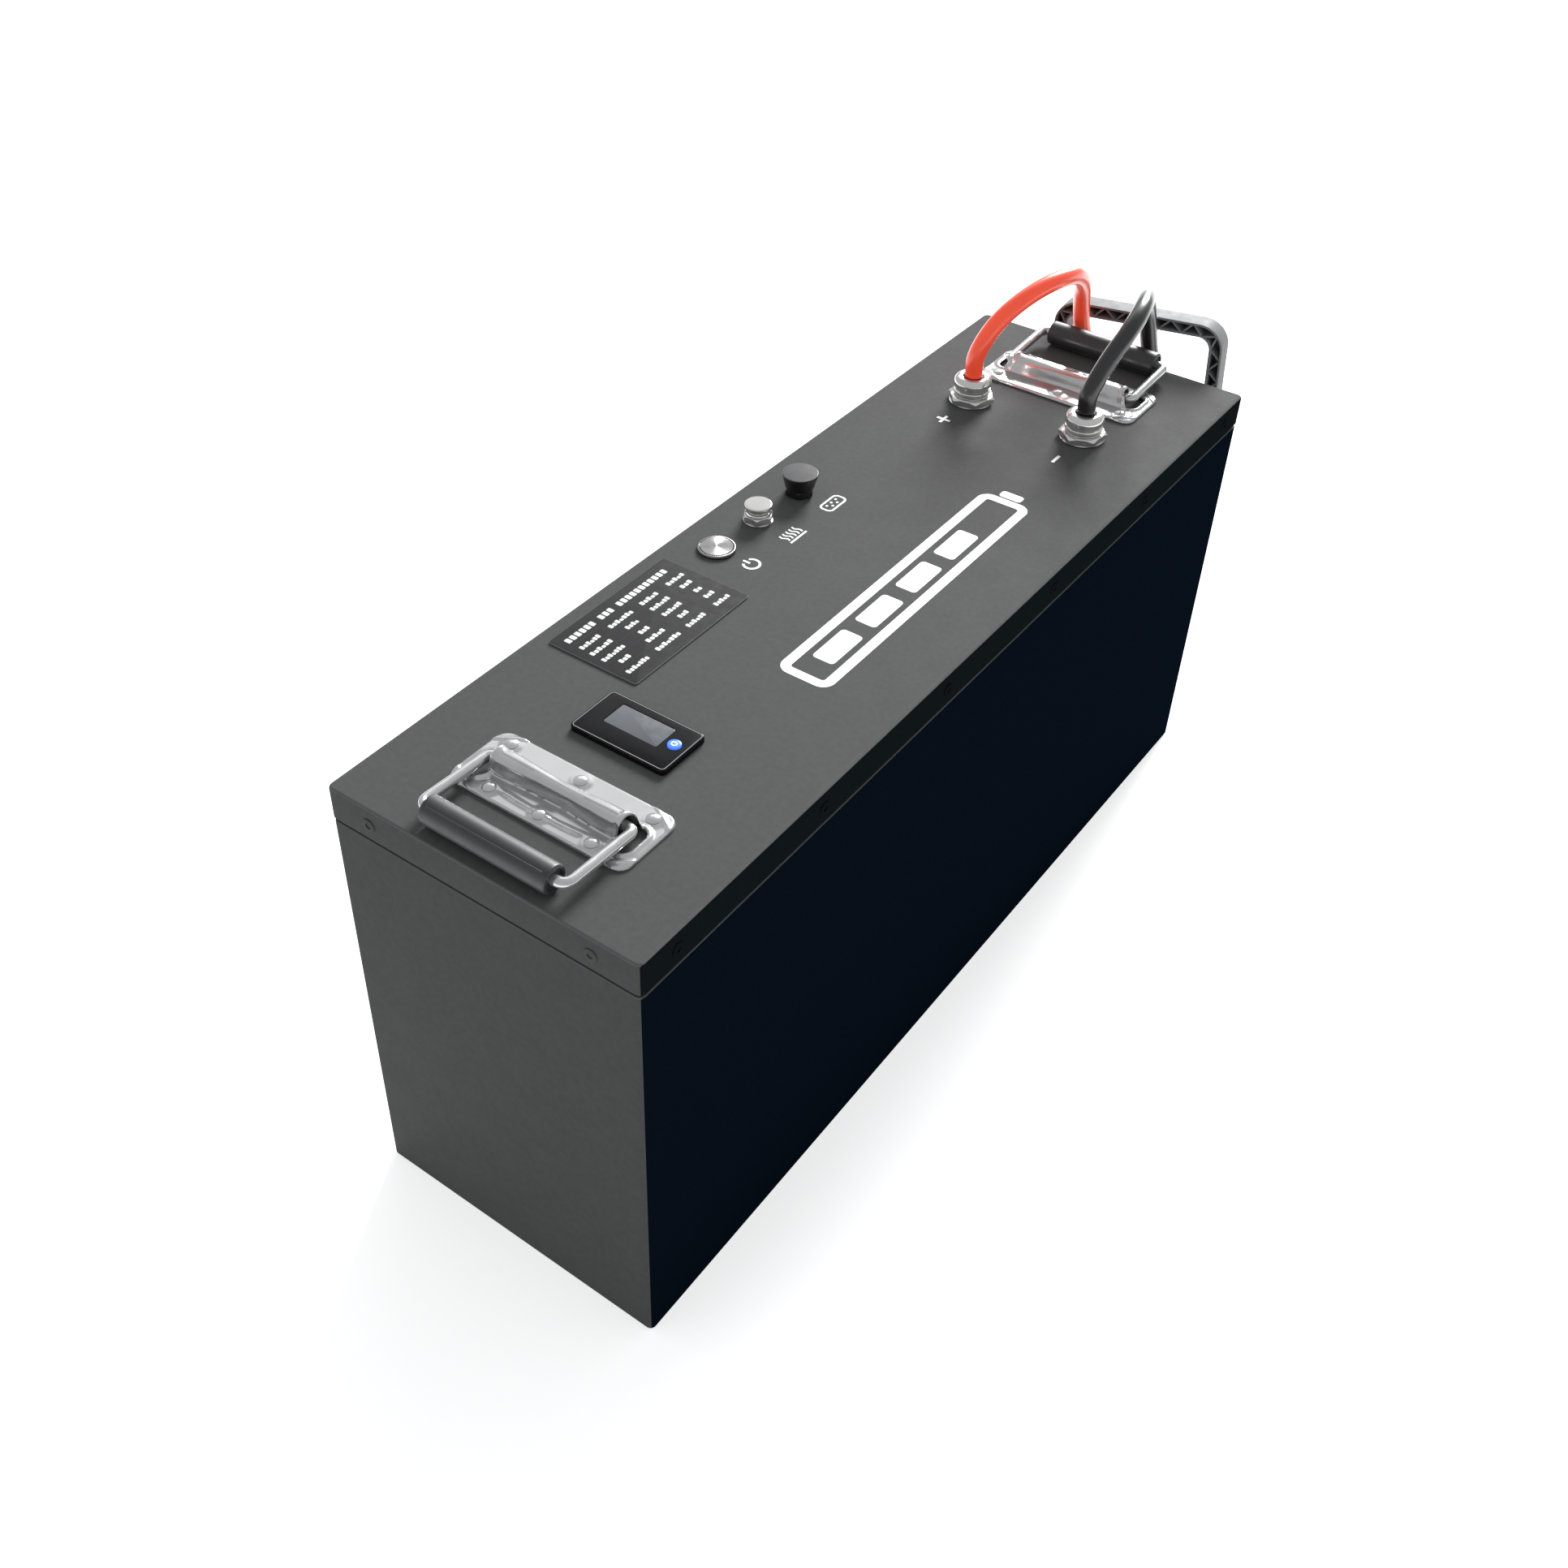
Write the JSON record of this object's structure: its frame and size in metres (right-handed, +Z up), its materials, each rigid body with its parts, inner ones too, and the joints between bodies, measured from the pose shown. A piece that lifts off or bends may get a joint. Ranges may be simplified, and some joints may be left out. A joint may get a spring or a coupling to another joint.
{
  "type": "deep cycle battery",
  "caption": "Long sheet-metal battery case with a screwed lid, folding end handles, small meter, fittings and two gland cables ending in one pull-handle connector.",
  "frame": {"origin": "centre of the case's base, on the surface it stands on", "axes": "+Z up, +Y along the case towards the end where the cables leave, +X to the right seen from the meter end"},
  "size_m": [0.2032, 0.7021, 0.3738],
  "materials": {
    "powder_coat": "matte",
    "case_coat": "satin",
    "chrome": "polished",
    "nickel": "gloss",
    "zinc": "satin",
    "grip_rubber": "satin",
    "black_rubber": "matte",
    "black_plastic": "satin",
    "grey_plastic": "matte",
    "display_glass": "gloss",
    "button_blue": "gloss",
    "label_film": "satin",
    "print_white": "satin",
    "red_sheath": "gloss",
    "black_sheath": "gloss",
    "cell_wrap": "satin",
    "aluminium": "satin",
    "copper": "gloss"
  },
  "bodies": {
    "case": {"case_body": "case_coat", "lid": "powder_coat", "lid_gasket": "black_rubber", "lid_screws_left": "powder_coat", "lid_screws_right": "powder_coat", "lid_screws_front": "powder_coat", "lid_screws_rear": "powder_coat", "front_handle_plate": "chrome", "front_handle_backing_plate": "zinc", "front_handle_spring": "zinc", "rear_handle_plate": "chrome", "rear_handle_backing_plate": "zinc", "rear_handle_spring": "zinc", "meter_housing": "black_plastic", "meter_window": "display_glass", "label_plate": "label_film", "switch_body": "nickel", "switch_nut": "zinc", "relief_valve_body": "nickel", "relief_valve_nut": "zinc", "data_port_socket": "black_plastic", "data_port_nut": "zinc", "positive_gland_body": "nickel", "positive_gland_nut": "nickel", "positive_gland_seal": "black_rubber", "positive_gland_locknut": "zinc", "negative_gland_body": "nickel", "negative_gland_nut": "nickel", "negative_gland_seal": "black_rubber", "negative_gland_locknut": "zinc", "positive_cable": "red_sheath", "negative_cable": "black_sheath", "positive_inner_lead": "red_sheath", "negative_inner_lead": "black_sheath", "connector_housing": "grey_plastic", "connector_positive_contact": "copper", "connector_negative_contact": "copper", "connector_handle": "grey_plastic", "connector_handle_screw_left": "zinc", "connector_handle_screw_right": "zinc", "cell_1": "cell_wrap", "cell_2": "cell_wrap", "cell_3": "cell_wrap", "cell_4": "cell_wrap", "cell_5": "cell_wrap", "cell_6": "cell_wrap", "cell_7": "cell_wrap", "cell_8": "cell_wrap", "cell_base_pad": "black_rubber", "cell_clamp_frame": "aluminium", "busbar_carrier": "black_plastic", "battery_manager": "aluminium"},
    "front_bail": {"front_handle_bail": "chrome", "front_handle_grip": "grip_rubber"},
    "rear_bail": {"rear_handle_bail": "chrome", "rear_handle_grip": "grip_rubber"},
    "switch_button": {"switch_cap": "nickel"},
    "meter_button": {"meter_power_button": "button_blue"},
    "relief_cap": {"relief_valve_cap": "nickel"},
    "port_cap": {"data_port_cap": "black_plastic"}
  },
  "joints": [
    {"name": "front_bail_hinge", "type": "hinge", "parent": "case", "child": "front_bail", "pos_m": [0, -0.2625, 0.302], "axis": [-1, 0, 0], "range_deg": [0, 90], "stiffness_Nm_per_rad": 0.12, "springref_deg": -20.05},
    {"name": "rear_bail_hinge", "type": "hinge", "parent": "case", "child": "rear_bail", "pos_m": [0, 0.2625, 0.302], "axis": [1, 0, 0], "range_deg": [0, 90], "stiffness_Nm_per_rad": 0.12, "springref_deg": -20.05},
    {"name": "switch_press", "type": "slide", "parent": "case", "child": "switch_button", "axis": [0, 0, -1], "range_m": [0, 0.002], "stiffness_N_per_m": 700, "springref_m": -0.002},
    {"name": "meter_button_press", "type": "slide", "parent": "case", "child": "meter_button", "axis": [0, 0, -1], "range_m": [0, 0.0005], "stiffness_N_per_m": 900, "springref_m": -0.001},
    {"name": "relief_cap_lift", "type": "slide", "parent": "case", "child": "relief_cap", "axis": [0, 0, 1], "range_m": [0, 0.0015], "stiffness_N_per_m": 600, "springref_m": -0.004},
    {"name": "port_cap_lift", "type": "slide", "parent": "case", "child": "port_cap", "axis": [0, 0, 1], "range_m": [0, 0.03]}
  ]
}
